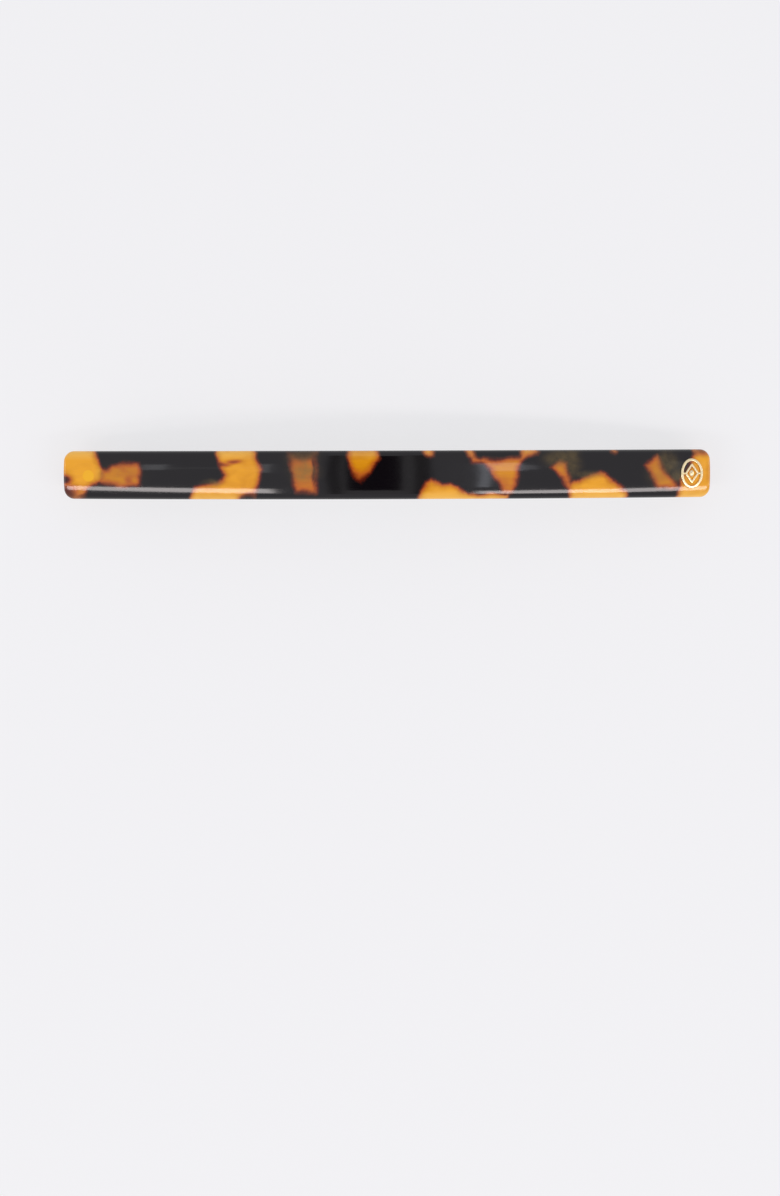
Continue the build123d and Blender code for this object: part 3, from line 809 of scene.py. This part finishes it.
class BARRETTE_OT_clasp(bpy.types.Operator):
    """Finish the steel clasp: plate, arm, tension bar, catch, pin and rivets"""

    bl_idname = "barrette.clasp"
    bl_label = "Clasp"

    def execute(self, context):
        nickel = plated_steel("nickel_plated_strip", "#E2DFD8", "#C2BFB8", 0.22)
        spring = plated_steel("tempered_spring_strip", "#C4C5C7", "#9FA0A2", 0.27)
        steel = turned_metal("tumbled_steel_wire", "#D2D0CB", "#AAA8A3", 0.22)
        brass = turned_metal("headed_brass", "#E4C27C", "#BF9750", 0.22)
        for node, material, slot in (
                ("base_plate", nickel, "clasp_steel"),
                ("clasp_arm", nickel, "clasp_steel"),
                ("tension_bar", spring, "spring_steel"),
                ("catch_bracket", spring, "spring_steel"),
                ("catch_jaw_front", spring, "spring_steel"),
                ("catch_jaw_back", spring, "spring_steel"),
                ("catch_rivet", steel, "pin_steel"),
                ("hinge_pin", steel, "pin_steel"),
                ("mounting_rivets", brass, "rivet_brass")):
            refined_copy(node, material)
        return {"FINISHED"}


# ---------------------------------------------------------------- studio pieces

class BARRETTE_OT_studio(bpy.types.Operator):
    """Set up the pale floor, the soft lights, the cards that the polish mirrors, and the camera"""

    bl_idname = "barrette.studio"
    bl_label = "Studio"

    def execute(self, context):
        self.floor()
        self.sky(context)
        for softbox in SOFTBOXES:
            self.softbox(*softbox)
        for card in CARDS:
            self.card(*card)
        self.camera(context)
        context.scene.view_settings.view_transform = "Standard"
        return {"FINISHED"}

    def floor(self):
        """A plain square sheet just under the barrette's feet, softly lit through from below."""
        below = CAD_BOX[0].z - FLOOR_GAP
        corners = [(x * FLOOR_HALF, y * FLOOR_HALF, below)
                   for x, y in ((-1, -1), (1, -1), (1, 1), (-1, 1))]
        material, _, shader = new_material("matt_opal_table")
        shader.inputs["Base Color"].default_value = linear(settings().floor_colour)
        shader.inputs["Roughness"].default_value = 0.9
        shader.inputs["Specular IOR Level"].default_value = 0.0
        shader.inputs["Emission Color"].default_value = FLOOR_LIGHT
        shader.inputs["Emission Strength"].default_value = settings().floor_glow
        made = sheet("studio_floor", corners, material)

    def sky(self, context):
        """Walls and ceiling as one even, nearly white light."""
        world = bpy.data.worlds.new("studio_walls")
        context.scene.world = world
        world.use_nodes = True
        background = world.node_tree.nodes["Background"]
        background.inputs["Color"].default_value = SKY_LIGHT
        background.inputs["Strength"].default_value = SKY_STRENGTH

    def softbox(self, name, x_mm, y_mm):
        """A long soft light facing down; its energy is the radiance times pi times its area."""
        lamp = bpy.data.lights.new("softbox_" + name, "AREA")
        lamp.shape = "RECTANGLE"
        lamp.size, lamp.size_y = (x_mm[1] - x_mm[0]) * MM, (y_mm[1] - y_mm[0]) * MM
        lamp.energy = SOFTBOX_RADIANCE * math.pi * lamp.size * lamp.size_y
        lamp.color = SOFTBOX_COLOUR
        made = new_object("softbox_" + name, lamp)
        made.location = (sum(x_mm) / 2 * MM, sum(y_mm) / 2 * MM, SOFTBOX_HEIGHT_MM * MM)

    def card(self, name, x_mm, y_mm, z_mm, light):
        """A card that only the polish mirrors."""
        corners = [(x_mm[i] * MM, y_mm[j] * MM, z_mm[i] * MM)
                   for i, j in ((0, 0), (1, 0), (1, 1), (0, 1))]
        made = sheet(name, corners, plain_card(name, light))
        made.visible_camera = made.visible_diffuse = False
        made.visible_shadow = made.visible_transmission = False

    def camera(self, context):
        """A camera over the barrette that looks nearly straight down."""
        size = settings()
        lens = bpy.data.cameras.new("camera")
        lens.lens, lens.sensor_width = size.camera_lens, FILM_WIDTH_MM
        lens.clip_start, lens.clip_end = 0.01, 10.0
        made = new_object("camera", lens)
        made.location = (*size.camera_place, size.camera_height)
        made.rotation_euler = (-size.camera_pitch, 0.0, size.camera_roll)
        context.scene.camera = made


class BARRETTE_PT_panel(bpy.types.Panel):
    """Lists the pieces and the sizes of the barrette"""

    bl_idname = "BARRETTE_PT_panel"
    bl_label = "Barrette"
    bl_space_type = "VIEW_3D"
    bl_region_type = "UI"
    bl_category = "Barrette"

    def draw(self, context):
        for piece in PIECES:
            self.layout.operator(piece.bl_idname)
        for group in (context.scene.barrette, context.scene.barrette.pattern):
            for name in group.bl_rna.properties.keys():
                if name not in ("rna_type", "name", "pattern"):
                    self.layout.prop(group, name)


PIECES = (BARRETTE_OT_acetate_bar, BARRETTE_OT_emblem, BARRETTE_OT_clasp, BARRETTE_OT_studio)
CLASSES = (BarrettePatternSettings, BarretteSettings, *PIECES, BARRETTE_PT_panel)


def register():
    for cls in CLASSES:
        bpy.utils.register_class(cls)
    bpy.types.Scene.barrette = PointerProperty(type=BarretteSettings)


def unregister():
    del bpy.types.Scene.barrette
    for cls in reversed(CLASSES):
        bpy.utils.unregister_class(cls)


def main():
    register()
    bpy.ops.barrette.acetate_bar()
    bpy.ops.barrette.emblem()
    bpy.ops.barrette.clasp()
    bpy.ops.barrette.studio()


if __name__ == "__main__":
    main()
